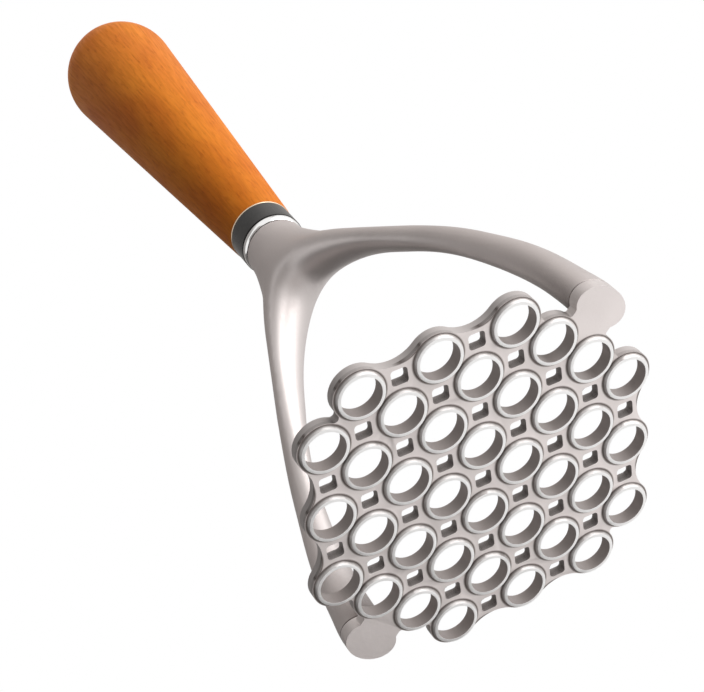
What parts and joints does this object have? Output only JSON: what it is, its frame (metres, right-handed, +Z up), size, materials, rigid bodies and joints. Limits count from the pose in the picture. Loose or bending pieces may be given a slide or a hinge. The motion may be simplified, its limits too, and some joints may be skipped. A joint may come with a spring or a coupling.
{
  "type": "potato masher",
  "caption": "Hand potato masher: a plate of collared round holes and square slots under a two-armed cast yoke, with two rings and a tapered turned wood handle.",
  "frame": {"origin": "middle of the flat face that the plate stands on", "axes": "+Z up the handle, away from the plate; +Y from one arm of the yoke to the other; +X across the arms"},
  "size_m": [0.0916, 0.0952, 0.2434],
  "materials": {
    "satin_cast_metal": "satin, cast",
    "polished_metal": "polished",
    "dark_gloss": "gloss",
    "wood": "satin lacquer",
    "steel": "plain",
    "brass": "plain"
  },
  "bodies": {
    "root": {"masher_plate": "satin_cast_metal", "yoke": "satin_cast_metal", "bright_ring": "polished_metal", "dark_collar": "dark_gloss", "handle": "wood", "threaded_rod": "steel", "threaded_insert": "brass", "foot_pins": "steel"}
  },
  "joints": []
}
